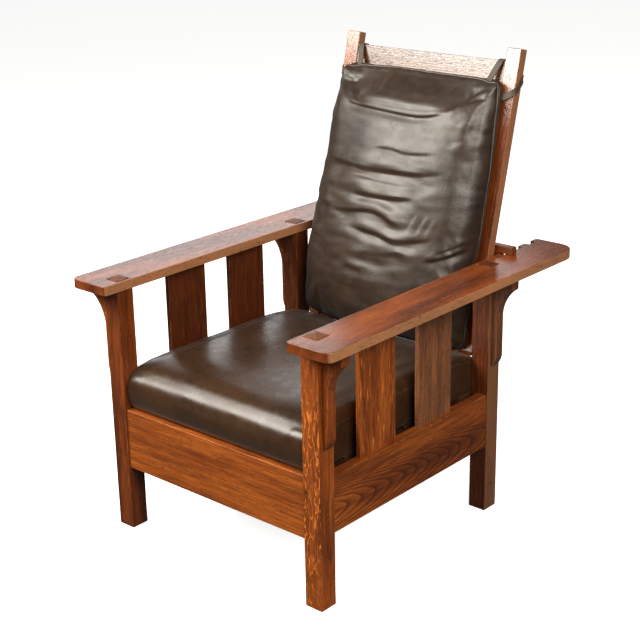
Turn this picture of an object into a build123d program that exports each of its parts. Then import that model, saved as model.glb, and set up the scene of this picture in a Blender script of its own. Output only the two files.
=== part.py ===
from build123d import *
import math
import os

os.makedirs("parts", exist_ok=True)

# A reclining armchair: an oak frame with arms that the posts are tenoned through, a back hinged to
# a rail between the rear posts and held by a bar that lies across the arms, and two loose leather
# cushions. X runs across the seat, Y from front to rear and Z up. Left and right are as seen from
# the front. The origin is on the floor under the middle of the arms.

# Posts
post_size = 46.0
frame_width = 636.0
frame_depth = 640.0
post_ease = 1.5
foot_ease = 1.2

# Arms
arm_top_height = 610.0
arm_thickness = 22.0
arm_length = 900.0
arm_outer_overhang = 65.0
arm_inner_overhang = 4.0
arm_front_overhang = 40.0
arm_ease = 2.0
arm_front_outer_radius = 20.0
arm_front_inner_radius = 10.0
arm_rear_outer_radius = 46.0
arm_rear_inner_radius = 9.0

# Through tenons of the posts, ended by low pyramids
tenon_size = 36.7
tenon_reveal = 1.2
pyramid_height = 4.0
pyramid_tip = 3.0

# Notches in the inner edge of each arm, behind the rear post
notch_count = 3
notch_pitch = 53.0
notch_width = 24.0
notch_depth = 15.0
notch_play = 1.0
tooth_radius = 6.0
notch_root_radius = 3.0

# Back bar: a batten over the arms, with a rib between them
bar_setback = 65.0
bar_depth = 19.0
bar_height = 18.0
bar_overlap = 34.0
bar_rib_height = 14.0
bar_ease = 2.0
bar_play = 0.3
bar_rib_clearance = 1.0

# Corbels under the arms
corbel_thickness = 26.0
corbel_nose_reach = 54.0
corbel_nose_height = 24.0
corbel_leg = 15.0
corbel_curve_drop = 73.0
corbel_leg_length = 92.0
corbel_foot_drop = 31.0
corbel_ease = 1.2

# Seat rails
rail_thickness = 26.0
rail_ease = 1.5
end_rail_setback = 4.0
end_rail_height = 145.0
end_rail_top = 302.0
side_rail_setback = 2.0
side_rail_height = 131.0
side_rail_top = 299.5
rail_tenon_depth = 20.0
rail_tenon_thickness = 10.0
rail_tenon_shoulder = 12.0

# Pegs through the tenons of the end rails: low at the left, high at the right
peg_radius = 3.5
peg_length = 34.0
peg_proud = 0.6
peg_inset = 8.0
peg_low = 33.0
peg_high = 113.0
peg_clearance = 0.05

# Side slats
side_slat_width = 120.0
side_slat_thickness = 11.0
side_slat_setback = 12.5
side_slat_pair_shift = 14.5
side_slat_middle_gap = 82.0
side_slat_tenon_thickness = 8.0
side_slat_tenon_shoulder = 10.0
side_slat_tenon_depth = 12.0
side_slat_ease = 1.0

# Rear rail that carries the back's hinges
hinge_rail_height = 47.0
hinge_rail_top = 365.0
hinge_rail_thickness = 24.0
hinge_rail_tenon_shoulder = 6.0

# Butt hinges of the back
hinge_end_gap = 36.0
hinge_length = 64.0
hinge_leaf_width = 18.0
hinge_leaf_thickness = 2.0
hinge_knuckle_radius = 4.0
hinge_pin_radius = 2.0
hinge_pin_head_radius = 3.2
hinge_pin_head_length = 1.5
hinge_knuckle_count = 5
hinge_knuckle_gap = 0.2
hinge_running_clearance = 0.05
hinge_leaf_gap = 1.0
hinge_edge_gap = 0.4

# Wood screws of the hinges and of the seat cleats
screw_radius = 1.75
screw_head_radius = 3.4
screw_head_depth = 1.6
screw_clearance = 0.05
hinge_screw_length = 15.0
hinge_screw_spacing = 40.0
cleat_screw_length = 34.0
cleat_screw_inset = 76.0

# Back ladder
back_side_gap = 16.0
stile_width = 38.0
stile_thickness = 25.5
stile_length = 719.0
stile_ease = 2.0
stile_foot_radius = 14.0
back_rail_setback = 3.0
bottom_rail_width = 58.0
top_rail_width = 64.0
top_rail_drop = 30.0
top_rail_thickness = 20.0
back_slat_count = 3
back_slat_width = 46.0
back_slat_thickness = 14.0
back_tenon_depth = 22.0
back_tenon_thickness = 8.0
back_tenon_shoulder = 6.0

# Cleats, frame and slats under the seat cushion
seat_deck_top = 296.0
deck_slat_thickness = 10.0
deck_slat_width = 60.0
deck_slat_count = 6
deck_slat_ease = 1.0
seat_frame_height = 20.0
seat_frame_width = 48.0
seat_frame_clearance = 2.0
seat_frame_tenon_depth = 26.0
seat_frame_tenon_thickness = 8.0
seat_frame_tenon_shoulder = 6.0
cleat_size = 20.0

# Cushions
soft_clearance = 0.3
seat_cushion_side_gap = 4.5
seat_cushion_front_gap = 4.0
seat_cushion_rear_gap = 4.0
seat_cushion_thickness = 104.0
back_cushion_side_gap = 13.0
back_cushion_bottom = 9.5
back_cushion_length = 637.0
back_cushion_edge = 46.0
back_cushion_fullness = 122.0

# Straps that tie the back cushion to the stiles
strap_width = 14.5
strap_thickness = 2.4
strap_clearance = 0.2
strap_stile_gap = 2.0
strap_lean = 9.0
strap_rear_drop = 35.0
strap_side_drop = 71.0
strap_front_drop = 87.0
strap_stand = 12.0
strap_top_sink = 4.0
strap_side_sink = 10.0

# Cuts that pass through a face run past it by this much
overrun = 5.0

# Shares of the seat cushion's length, half width and thickness at each of its sections: place,
# half width, lower edge, upper edge and crown above it
seat_section_shares = (
    (0.0000, 0.992, 0.440, 0.620, 0.010),
    (0.0033, 0.996, 0.285, 0.745, 0.020),
    (0.0100, 0.999, 0.170, 0.835, 0.020),
    (0.0185, 1.000, 0.095, 0.905, 0.020),
    (0.0270, 1.000, 0.076, 0.950, 0.030),
    (0.0360, 1.000, 0.060, 0.985, 0.030),
    (0.0470, 1.000, 0.037, 1.012, 0.035),
    (0.0660, 1.000, 0.000, 1.035, 0.040),
    (0.1000, 0.996, 0.000, 1.060, 0.050),
    (0.2000, 0.990, 0.000, 1.100, 0.070),
    (0.3500, 0.984, 0.000, 1.105, 0.070),
    (0.5000, 0.982, 0.000, 1.105, 0.070),
    (0.6500, 0.984, 0.000, 1.095, 0.070),
    (0.8000, 0.990, 0.000, 1.050, 0.060),
    (0.9200, 0.998, 0.000, 0.925, 0.040),
    (0.9750, 1.000, 0.000, 0.830, 0.020),
    (0.9930, 0.990, 0.070, 0.790, 0.020),
    (1.0000, 0.970, 0.150, 0.730, 0.010),
)
seat_bulge_share = 0.04

# Shares of the back cushion's length, half width, edge and fullness at each of its sections
back_section_shares = (
    (0.000, 0.950, 0.36, 0.30),
    (0.012, 0.972, 0.84, 0.52),
    (0.040, 0.985, 1.28, 0.76),
    (0.100, 0.982, 1.55, 0.90),
    (0.200, 0.972, 1.72, 0.98),
    (0.320, 0.965, 1.76, 1.00),
    (0.480, 0.960, 1.62, 0.96),
    (0.640, 0.960, 1.42, 0.87),
    (0.800, 0.968, 1.24, 0.75),
    (0.920, 0.978, 1.06, 0.64),
    (0.975, 0.975, 0.84, 0.52),
    (1.000, 0.940, 0.38, 0.30),
)
edge_bulge_share = 0.12
edge_draw_share = 0.10

# Places that follow from the driving sizes
half_width = frame_width / 2
half_depth = frame_depth / 2
front_face = -arm_length / 2 + arm_front_overhang
rear_face = front_face + frame_depth
middle_y = (front_face + rear_face) / 2
post_x = half_width - post_size / 2
post_inner = half_width - post_size
arm_underside = arm_top_height - arm_thickness
arm_inner = post_inner - arm_inner_overhang
arm_outer = half_width + arm_outer_overhang
arm_middle = (arm_inner + arm_outer) / 2
arm_width = arm_outer - arm_inner

end_rail_inner = half_depth - end_rail_setback - rail_thickness
end_rail_reach = half_depth - end_rail_setback - rail_thickness / 2
end_rail_middle = end_rail_top - end_rail_height / 2
side_rail_x = half_width - side_rail_setback - rail_thickness / 2
side_rail_middle = side_rail_top - side_rail_height / 2
side_slat_x = half_width - side_slat_setback - side_slat_thickness / 2
hinge_rail_y = rear_face - hinge_rail_thickness / 2
hinge_rail_middle = hinge_rail_top - hinge_rail_height / 2
seat_frame_top = seat_deck_top - deck_slat_thickness
cleat_top = seat_frame_top - seat_frame_height
cleat_length = 2 * (post_inner - seat_frame_clearance)
cleat_screw_x = cleat_length / 2 - cleat_screw_inset

# The back stands between the rear posts, and its hinges and cushion follow its width
back_width = 2 * (post_inner - back_side_gap)
stile_x = back_width / 2 - stile_width / 2
stile_inner = back_width / 2 - stile_width
hinge_offset_side = stile_inner - hinge_end_gap - hinge_length / 2
back_cushion_width = back_width - 2 * back_cushion_side_gap

# The hinge axis lies just behind and above the hinge rail
hinge_offset = hinge_knuckle_radius + hinge_edge_gap
hinge_y = rear_face + hinge_offset
hinge_z = hinge_rail_top + hinge_leaf_gap

# The bar at rest stands in the first notch, and travels to the last one
bar_front = rear_face + bar_setback
bar_middle = bar_front + bar_depth / 2
bar_bottom = arm_top_height + bar_play
bar_top = bar_bottom + bar_height
bar_travel = notch_pitch * (notch_count - 1)


def recline_for(bar_place):
    """Angle of the back from upright when its rear face leans on the bar's upper front edge."""
    above = bar_top - hinge_z
    behind = bar_place - bar_play - hinge_y
    return math.degrees(
        math.atan2(behind, above) + math.asin(hinge_offset / math.hypot(behind, above))
    )


recline = recline_for(bar_front)
recline_range = recline_for(bar_front + bar_travel) - recline
lean_sin = math.sin(math.radians(recline))
lean_cos = math.cos(math.radians(recline))
up_the_back = (0, lean_sin, lean_cos)
out_of_back = (0, -lean_cos, lean_sin)

# The back's own plane: local X across, local Y up the back and local Z forward, out of it
back_plane = Plane(origin=(0, hinge_y, hinge_z), x_dir=(1, 0, 0), z_dir=out_of_back)
stile_bottom = hinge_leaf_gap
stile_top = stile_bottom + stile_length
stile_rear = hinge_offset
stile_front = stile_rear + stile_thickness
back_rail_front = stile_front - back_rail_setback
bottom_rail_thickness = stile_thickness - back_rail_setback
top_rail_top = stile_top - top_rail_drop
top_rail_low = top_rail_top - top_rail_width

side_names = {-1: "left", 1: "right"}
end_names = {-1: "front", 1: "rear"}


def save(piece, name):
    piece.part.label = name
    export_step(piece.part, f"parts/{name}.step")


def block(place, size, mode=Mode.ADD):
    with Locations(place):
        Box(*size, mode=mode)


def back_block(place, size, mode=Mode.ADD):
    """A block placed and turned with the back."""
    with Locations(back_plane.location * Location(place)):
        Box(*size, mode=mode)


def cross_section(distance):
    """Plane square to the back, some way up from the hinge, with its local Y to the rear."""
    return Plane(
        origin=back_plane.from_local_coords((0, distance, 0)),
        x_dir=(1, 0, 0),
        z_dir=up_the_back,
    )


def disc(plane, centre, radius):
    with BuildSketch(plane) as outline:
        with Locations(centre):
            Circle(radius)
    return outline.sketch


def square(height, centre, size):
    with BuildSketch(Plane.XY.offset(height)) as outline:
        with Locations(centre):
            Rectangle(size, size)
    return outline.sketch


# Tenons of the rails, each given as the centre and size of a block that the post's mortise shares
def end_rail_tenon(side, end):
    place = (
        side * (post_inner + rail_tenon_depth / 2),
        middle_y + end * end_rail_reach,
        end_rail_middle,
    )
    height = end_rail_height - 2 * rail_tenon_shoulder
    return place, (rail_tenon_depth, rail_tenon_thickness, height)


def side_rail_tenon(side, end):
    place = (
        side * side_rail_x,
        middle_y + end * (half_depth - post_size + rail_tenon_depth / 2),
        side_rail_middle,
    )
    height = side_rail_height - 2 * rail_tenon_shoulder
    return place, (rail_tenon_thickness, rail_tenon_depth, height)


def hinge_rail_tenon(side):
    place = (side * (post_inner + rail_tenon_depth / 2), hinge_rail_y, hinge_rail_middle)
    height = hinge_rail_height - 2 * hinge_rail_tenon_shoulder
    return place, (rail_tenon_depth, rail_tenon_thickness, height)


def side_slat_ys(side):
    """Middles of a side's two slats: the pair stands forward at the right, back at the left."""
    pair = middle_y - side * side_slat_pair_shift
    reach = (side_slat_width + side_slat_middle_gap) / 2
    return pair - reach, pair + reach


def side_slat_tenon(side, y, height, direction):
    """The tenon at the top (1) or bottom (-1) end of a side slat."""
    place = (side * side_slat_x, y, height + direction * side_slat_tenon_depth / 2)
    width = side_slat_width - 2 * side_slat_tenon_shoulder
    return place, (side_slat_tenon_thickness, width, side_slat_tenon_depth)


def peg_plane(side, end):
    """Plane on a post's front or rear face, centred on its peg and looking away from the post."""
    height = peg_low if side < 0 else peg_high
    return Plane(
        origin=(
            side * (post_inner + peg_inset),
            middle_y + end * half_depth,
            end_rail_top - end_rail_height + height,
        ),
        x_dir=(1, 0, 0),
        z_dir=(0, end, 0),
    )


def cut_peg_hole(side, end):
    hole = disc(peg_plane(side, end), (0, 0), peg_radius + peg_clearance)
    extrude(hole, amount=peg_proud - peg_length - peg_clearance, mode=Mode.SUBTRACT)


def cleat_plane(end):
    """Plane on the free side face of an end rail's cleat, looking away from the rail."""
    return Plane(
        origin=(0, middle_y + end * (end_rail_inner - cleat_size), cleat_top - cleat_size / 2),
        x_dir=(1, 0, 0),
        z_dir=(0, -end, 0),
    )


# Posts
def make_post(side, end):
    centre = (side * post_x, middle_y + end * (half_depth - post_size / 2))
    reveal_top = arm_top_height + tenon_reveal
    with BuildPart() as post:
        extrude(square(0, centre, post_size), amount=arm_underside)
        fillet(post.edges().filter_by(Axis.Z), post_ease)
        chamfer(post.faces().sort_by(Axis.Z)[0].edges(), foot_ease)
        extrude(square(arm_underside, centre, tenon_size), amount=reveal_top - arm_underside)
        loft(
            [
                square(reveal_top, centre, tenon_size),
                square(reveal_top + pyramid_height, centre, pyramid_tip),
            ]
        )
        block(*end_rail_tenon(side, end), Mode.SUBTRACT)
        block(*side_rail_tenon(side, end), Mode.SUBTRACT)
        if end > 0:
            block(*hinge_rail_tenon(side), Mode.SUBTRACT)
        cut_peg_hole(side, end)
    save(post, f"{end_names[end]}_{side_names[side]}_post")


for side in (-1, 1):
    for end in (-1, 1):
        make_post(side, end)


# Arms
def notch_outline(side):
    """A strip along the arm's inner edge with a finger for each notch, rounded like the teeth."""
    first = bar_front + bar_depth + notch_play - notch_width / 2
    with BuildSketch(Plane.XY.offset(arm_underside)) as outline:
        with Locations((side * (arm_inner - overrun / 2), first + bar_travel / 2)):
            Rectangle(overrun, bar_travel + 2 * notch_pitch)
        for step in range(notch_count):
            middle = (side * (arm_inner + notch_depth / 2), first + step * notch_pitch)
            with Locations(middle):
                Rectangle(notch_depth, notch_width)
        mouth = outline.vertices().filter_by(
            lambda corner: math.isclose(abs(corner.X), arm_inner, rel_tol=1e-6)
        )
        fillet(mouth.sort_by(Axis.Y)[1:-1], tooth_radius)
        root = outline.vertices().filter_by(
            lambda corner: math.isclose(abs(corner.X), arm_inner + notch_depth, rel_tol=1e-6)
        )
        fillet(root, notch_root_radius)
    return outline.sketch


def make_arm(side):
    with BuildPart() as arm:
        with BuildSketch(Plane.XY.offset(arm_underside)) as outline:
            with Locations((side * arm_middle, 0)):
                Rectangle(arm_width, arm_length)
            for x, y, radius in (
                (arm_outer, -arm_length / 2, arm_front_outer_radius),
                (arm_inner, -arm_length / 2, arm_front_inner_radius),
                (arm_outer, arm_length / 2, arm_rear_outer_radius),
                (arm_inner, arm_length / 2, arm_rear_inner_radius),
            ):
                fillet(outline.vertices().sort_by_distance((side * x, y, 0))[0], radius)
        extrude(amount=arm_thickness)
        fillet(arm.faces().sort_by(Axis.Z)[-1].edges(), arm_ease)
        fillet(arm.faces().sort_by(Axis.Z)[0].edges(), arm_ease)
        extrude(notch_outline(side), amount=arm_thickness, mode=Mode.SUBTRACT)
        for end in (-1, 1):
            centre = (side * post_x, middle_y + end * (half_depth - post_size / 2))
            hole = square(arm_underside, centre, tenon_size)
            extrude(hole, amount=arm_thickness, mode=Mode.SUBTRACT)
        for y in side_slat_ys(side):
            block(*side_slat_tenon(side, y, arm_underside, 1), Mode.SUBTRACT)
    save(arm, f"{side_names[side]}_arm")


for side in (-1, 1):
    make_arm(side)


# Corbels: a nose under the arm, a hollow curve into a slim leg, and a rounded foot
def make_corbel(side, end):
    y = middle_y + end * (half_depth - post_size / 2)
    face = side * half_width
    leg_face = side * (half_width + corbel_leg)
    nose_face = side * (half_width + corbel_nose_reach)
    nose_bottom = arm_underside - corbel_nose_height
    leg_top = nose_bottom - corbel_curve_drop
    leg_bottom = leg_top - corbel_leg_length
    foot = leg_bottom - corbel_foot_drop
    with BuildPart() as corbel:
        with BuildSketch(Plane.XZ.offset(-y)):
            with BuildLine():
                Polyline(
                    (face, foot),
                    (face, arm_underside),
                    (nose_face, arm_underside),
                    (nose_face, nose_bottom),
                )
                TangentArc((leg_face, leg_top), (nose_face, nose_bottom), tangent=(0, 1))
                Line((leg_face, leg_top), (leg_face, leg_bottom))
                TangentArc((leg_face, leg_bottom), (face, foot), tangent=(0, -1))
            make_face()
        extrude(amount=corbel_thickness / 2, both=True)
        free_edges = corbel.edges().filter_by(
            lambda edge: abs((edge @ 0.5).Y - y) > corbel_thickness / 3
            and abs((edge @ 0.5).X) > half_width + corbel_leg / 3
            and (edge @ 0.5).Z < arm_underside - corbel_nose_height / 3
        )
        fillet(free_edges, corbel_ease)
    save(corbel, f"{end_names[end]}_{side_names[side]}_corbel")


for side in (-1, 1):
    for end in (-1, 1):
        make_corbel(side, end)


# Seat rails: end rails between the posts, and side rails with the slats in their upper edge
def make_end_rail(end):
    with BuildPart() as rail:
        block(
            (0, middle_y + end * end_rail_reach, end_rail_middle),
            (2 * post_inner, rail_thickness, end_rail_height),
        )
        fillet(rail.edges().filter_by(Axis.X), rail_ease)
        for side in (-1, 1):
            block(*end_rail_tenon(side, end))
        for side in (-1, 1):
            cut_peg_hole(side, end)
            pilot = disc(
                cleat_plane(end).offset(-cleat_size),
                (side * cleat_screw_x, 0),
                screw_radius + screw_clearance,
            )
            extrude(pilot, amount=cleat_size - cleat_screw_length, mode=Mode.SUBTRACT)
    save(rail, f"{end_names[end]}_rail")


for end in (-1, 1):
    make_end_rail(end)


def make_side_rail(side):
    with BuildPart() as rail:
        block(
            (side * side_rail_x, middle_y, side_rail_middle),
            (rail_thickness, frame_depth - 2 * post_size, side_rail_height),
        )
        fillet(rail.edges().filter_by(Axis.Y), rail_ease)
        for end in (-1, 1):
            block(*side_rail_tenon(side, end))
        for y in side_slat_ys(side):
            block(*side_slat_tenon(side, y, side_rail_top, -1), Mode.SUBTRACT)
    save(rail, f"{side_names[side]}_side_rail")


for side in (-1, 1):
    make_side_rail(side)

with BuildPart() as pegs:
    for side in (-1, 1):
        for end in (-1, 1):
            head = peg_plane(side, end).offset(peg_proud)
            extrude(disc(head, (0, 0), peg_radius), amount=-peg_length)
save(pegs, "rail_pegs")


# Side slats
def make_side_slat(side, row):
    y = side_slat_ys(side)[row]
    length = arm_underside - side_rail_top
    with BuildPart() as slat:
        block(
            (side * side_slat_x, y, side_rail_top + length / 2),
            (side_slat_thickness, side_slat_width, length),
        )
        fillet(slat.edges().filter_by(Axis.Z), side_slat_ease)
        block(*side_slat_tenon(side, y, arm_underside, 1))
        block(*side_slat_tenon(side, y, side_rail_top, -1))
    save(slat, f"{side_names[side]}_{('front', 'rear')[row]}_slat")


for side in (-1, 1):
    for row in (0, 1):
        make_side_slat(side, row)


# Hinge planes lie on the axis: local Y runs forward along the leaf, and local Z out of the wood
fixed_leaf_plane = Plane(origin=(0, hinge_y, hinge_z), x_dir=(-1, 0, 0), z_dir=(0, 0, 1))
moving_leaf_plane = Plane(
    origin=(0, hinge_y, hinge_z), x_dir=(1, 0, 0), z_dir=(0, -lean_sin, -lean_cos)
)
knuckle_length = hinge_length / hinge_knuckle_count
leaf_middle = hinge_offset + hinge_leaf_width / 2
hinge_screw_xs = [
    side * hinge_offset_side + step * hinge_screw_spacing / 2
    for side in (-1, 1)
    for step in (-1, 1)
]


def knuckle_places(moving):
    """Middles of one leaf's knuckles, measured from the hinge's middle."""
    return [
        (index + 1 / 2) * knuckle_length - hinge_length / 2
        for index in range(hinge_knuckle_count)
        if (index % 2 == 1) == moving
    ]


def cut_leaf_recesses(plane):
    """Recesses that take both hinges' leaves flush with the wood, and their screw holes."""
    floor = plane.offset(-hinge_leaf_gap - hinge_leaf_thickness)
    with BuildSketch(floor) as recesses:
        for side in (-1, 1):
            with Locations((side * hinge_offset_side, leaf_middle)):
                Rectangle(hinge_length, hinge_leaf_width)
    extrude(recesses.sketch, amount=hinge_leaf_thickness, mode=Mode.SUBTRACT)
    for x in hinge_screw_xs:
        hole = disc(floor, (x, leaf_middle), screw_radius + screw_clearance)
        extrude(hole, amount=hinge_leaf_thickness - hinge_screw_length, mode=Mode.SUBTRACT)


def make_leaf(plane, x, moving, name):
    bore = Plane(
        origin=plane.from_local_coords((x, 0, 0)), x_dir=plane.y_dir, z_dir=plane.x_dir
    )
    with BuildPart() as leaf:
        with BuildSketch(plane.offset(-hinge_leaf_gap - hinge_leaf_thickness)):
            with Locations((x, leaf_middle)):
                Rectangle(hinge_length, hinge_leaf_width)
            for place in knuckle_places(moving):
                with Locations((x + place, hinge_offset / 2)):
                    Rectangle(knuckle_length - hinge_knuckle_gap, hinge_offset)
        extrude(amount=hinge_leaf_thickness)
        for place in knuckle_places(moving):
            knuckle = disc(bore.offset(place), (0, 0), hinge_knuckle_radius)
            extrude(knuckle, amount=(knuckle_length - hinge_knuckle_gap) / 2, both=True)
        hole = disc(bore, (0, 0), hinge_pin_radius + hinge_running_clearance)
        extrude(hole, amount=hinge_length, both=True, mode=Mode.SUBTRACT)
        wood_face = plane.offset(-hinge_leaf_gap).location
        for step in (-1, 1):
            place = Location((x + step * hinge_screw_spacing / 2, leaf_middle, 0))
            with Locations(wood_face * place):
                CounterSinkHole(
                    screw_radius + screw_clearance,
                    screw_head_radius + screw_clearance,
                    depth=hinge_leaf_thickness + overrun,
                )
    save(leaf, name)


def add_screw(plane, x, length):
    """A countersunk screw, its head flush with the plane."""
    shank = disc(plane.offset(-screw_head_depth), (x, 0), screw_radius)
    loft([disc(plane, (x, 0), screw_head_radius), shank])
    extrude(shank, amount=screw_head_depth + screw_clearance - length)


def make_hinge_screws(plane, name):
    wood_face = Plane(
        origin=plane.from_local_coords((0, leaf_middle, -hinge_leaf_gap)),
        x_dir=plane.x_dir,
        z_dir=plane.z_dir,
    )
    with BuildPart() as screws:
        for x in hinge_screw_xs:
            add_screw(wood_face, x, hinge_screw_length)
    save(screws, name)


with BuildPart() as hinge_rail:
    block(
        (0, hinge_rail_y, hinge_rail_middle),
        (2 * post_inner, hinge_rail_thickness, hinge_rail_height),
    )
    fillet(hinge_rail.faces().sort_by(Axis.Z)[0].edges().filter_by(Axis.X), rail_ease)
    for side in (-1, 1):
        block(*hinge_rail_tenon(side))
    cut_leaf_recesses(fixed_leaf_plane)
save(hinge_rail, "hinge_rail")


def make_hinge_pin(side):
    reach = hinge_length / 2
    middle = Plane(origin=(side * hinge_offset_side, hinge_y, hinge_z), z_dir=(1, 0, 0))
    with BuildPart() as pin:
        extrude(disc(middle, (0, 0), hinge_pin_radius), amount=reach, both=True)
        for end in (-1, 1):
            head = disc(middle.offset(end * reach), (0, 0), hinge_pin_head_radius)
            extrude(head, amount=end * hinge_pin_head_length)
        for end in (0, -1):
            fillet(pin.faces().sort_by(Axis.X)[end].edges(), hinge_pin_head_length / 2)
    save(pin, f"{side_names[side]}_hinge_pin")


for side in (-1, 1):
    x = side * hinge_offset_side
    make_leaf(fixed_leaf_plane, -x, False, f"{side_names[side]}_fixed_leaf")
    make_leaf(moving_leaf_plane, x, True, f"{side_names[side]}_moving_leaf")
    make_hinge_pin(side)
make_hinge_screws(fixed_leaf_plane, "fixed_leaf_screws")
make_hinge_screws(moving_leaf_plane, "moving_leaf_screws")


# Cleats on the inner faces of the end rails, which carry the seat frame
for end in (-1, 1):
    with BuildPart() as cleat:
        with BuildSketch(cleat_plane(end)):
            Rectangle(cleat_length, cleat_size)
        extrude(amount=-cleat_size)
        for side in (-1, 1):
            with Locations(cleat_plane(end).location * Location((side * cleat_screw_x, 0, 0))):
                CounterSinkHole(
                    screw_radius + screw_clearance,
                    screw_head_radius + screw_clearance,
                    depth=cleat_size + overrun,
                )
    save(cleat, f"{end_names[end]}_cleat")

with BuildPart() as cleat_screws:
    for end in (-1, 1):
        for side in (-1, 1):
            add_screw(cleat_plane(end), side * cleat_screw_x, cleat_screw_length)
save(cleat_screws, "cleat_screws")


# Drop-in seat frame
seat_frame_half_length = end_rail_inner - seat_frame_clearance
seat_frame_half_width = post_inner - seat_frame_clearance
seat_frame_middle = seat_frame_top - seat_frame_height / 2
seat_end_half_length = seat_frame_half_width - seat_frame_width
seat_end_reach = seat_frame_half_length - seat_frame_width / 2


def seat_frame_tenon(side, end):
    place = (
        side * (seat_end_half_length + seat_frame_tenon_depth / 2),
        middle_y + end * seat_end_reach,
        seat_frame_middle,
    )
    width = seat_frame_width - 2 * seat_frame_tenon_shoulder
    return place, (seat_frame_tenon_depth, width, seat_frame_tenon_thickness)


for end in (-1, 1):
    with BuildPart() as frame_end:
        block(
            (0, middle_y + end * seat_end_reach, seat_frame_middle),
            (2 * seat_end_half_length, seat_frame_width, seat_frame_height),
        )
        for side in (-1, 1):
            block(*seat_frame_tenon(side, end))
    save(frame_end, f"seat_frame_{end_names[end]}")

for side in (-1, 1):
    with BuildPart() as frame_side:
        block(
            (side * (seat_frame_half_width - seat_frame_width / 2), middle_y, seat_frame_middle),
            (seat_frame_width, 2 * seat_frame_half_length, seat_frame_height),
        )
        for end in (-1, 1):
            block(*seat_frame_tenon(side, end), Mode.SUBTRACT)
    save(frame_side, f"seat_frame_{side_names[side]}")

deck_reach = seat_frame_half_length - deck_slat_width / 2
deck_pitch = 2 * deck_reach / (deck_slat_count - 1)
deck_middle = seat_deck_top - deck_slat_thickness / 2
for index in range(deck_slat_count):
    with BuildPart() as deck_slat:
        block(
            (0, middle_y - deck_reach + index * deck_pitch, deck_middle),
            (2 * seat_frame_half_width, deck_slat_width, deck_slat_thickness),
        )
        fillet(deck_slat.faces().sort_by(Axis.Z)[-1].edges(), deck_slat_ease)
    save(deck_slat, f"deck_slat_{index + 1}")


# Seat cushion: cross-sections from its rolled front edge to the rear, with a crowned top, sides
# drawn in between the corners, and a flat underside
seat_half = post_inner - seat_cushion_side_gap
seat_bottom = seat_deck_top + soft_clearance
seat_front = front_face + end_rail_setback + seat_cushion_front_gap
seat_length = rear_face - hinge_rail_thickness - seat_cushion_rear_gap - seat_front


def seat_section(place_share, half_share, low_share, high_share, crown_share):
    half = half_share * seat_half
    low = seat_bottom + low_share * seat_cushion_thickness
    high = seat_bottom + high_share * seat_cushion_thickness
    crown = high + crown_share * seat_cushion_thickness
    edge = half - seat_bulge_share * (high - low)
    with BuildSketch(Plane.XZ.offset(-seat_front - place_share * seat_length)) as section:
        with BuildLine():
            Line((-edge, low), (edge, low))
            ThreePointArc((edge, low), (half, (low + high) / 2), (edge, high))
            ThreePointArc((edge, high), (0, crown), (-edge, high))
            ThreePointArc((-edge, high), (-half, (low + high) / 2), (-edge, low))
        make_face()
    return section.sketch


with BuildPart() as seat_cushion:
    loft([seat_section(*shares) for shares in seat_section_shares], ruled=True)
save(seat_cushion, "seat_cushion")


# Back ladder: what lies between the stiles, from the bottom up, as lower edge, width, thickness
def back_members():
    first = stile_bottom + bottom_rail_width
    free = top_rail_low - first - back_slat_count * back_slat_width
    gap = free / (back_slat_count + 1)
    members = {"back_bottom_rail": (stile_bottom, bottom_rail_width, bottom_rail_thickness)}
    for index in range(back_slat_count):
        low = first + gap + index * (back_slat_width + gap)
        members[f"back_slat_{index + 1}"] = (low, back_slat_width, back_slat_thickness)
    members["back_top_rail"] = (top_rail_low, top_rail_width, top_rail_thickness)
    return members


def back_tenon(side, low, width, thickness):
    place = (
        side * (stile_inner + back_tenon_depth / 2),
        low + width / 2,
        back_rail_front - thickness / 2,
    )
    return place, (back_tenon_depth, width - 2 * back_tenon_shoulder, back_tenon_thickness)


def make_stile(side):
    with BuildPart() as stile:
        with BuildSketch(back_plane.offset(stile_rear)) as outline:
            with Locations((side * stile_x, stile_bottom + stile_length / 2)):
                Rectangle(stile_width, stile_length)
            foot = (side * back_width / 2, stile_bottom, 0)
            fillet(outline.vertices().sort_by_distance(foot)[0], stile_foot_radius)
        extrude(amount=stile_thickness)
        fillet(stile.edges(), stile_ease)
        for member in back_members().values():
            back_block(*back_tenon(side, *member), Mode.SUBTRACT)
    save(stile, f"back_{side_names[side]}_stile")


for side in (-1, 1):
    make_stile(side)

for name, (low, width, thickness) in back_members().items():
    with BuildPart() as member:
        back_block(
            (0, low + width / 2, back_rail_front - thickness / 2),
            (2 * stile_inner, width, thickness),
        )
        fillet(member.edges().filter_by(Axis.X), rail_ease)
        for side in (-1, 1):
            back_block(*back_tenon(side, low, width, thickness))
        if name == "back_bottom_rail":
            cut_leaf_recesses(moving_leaf_plane)
    save(member, name)


# Back cushion: cross-sections up the back, flat behind and crowned in front, fullest low down
def back_section(place_share, half_share, edge_share, full_share):
    rear = -stile_front - soft_clearance
    half = half_share * back_cushion_width / 2
    edge = edge_share * back_cushion_edge
    shoulder = half - edge_draw_share * edge
    belly = half + edge_bulge_share * edge
    front = rear - full_share * back_cushion_fullness
    distance = back_cushion_bottom + place_share * back_cushion_length
    with BuildSketch(cross_section(distance)) as section:
        with BuildLine():
            Line((-half, rear), (half, rear))
            ThreePointArc((half, rear), (belly, rear - edge / 2), (shoulder, rear - edge))
            ThreePointArc((shoulder, rear - edge), (0, front), (-shoulder, rear - edge))
            ThreePointArc((-shoulder, rear - edge), (-belly, rear - edge / 2), (-half, rear))
        make_face()
    return section.sketch


with BuildPart() as back_cushion:
    loft([back_section(*shares) for shares in back_section_shares], ruled=True)
save(back_cushion, "back_cushion")


# Straps: from the cushion's top edge over the top rail, down behind the stile, round its outer
# side and across its front to the cushion's side
def add_ribbon(plane, corners):
    with BuildSketch(plane) as outline:
        with BuildLine():
            Polyline(*corners, close=True)
        make_face()
    extrude(outline.sketch, amount=strap_thickness)


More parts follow.
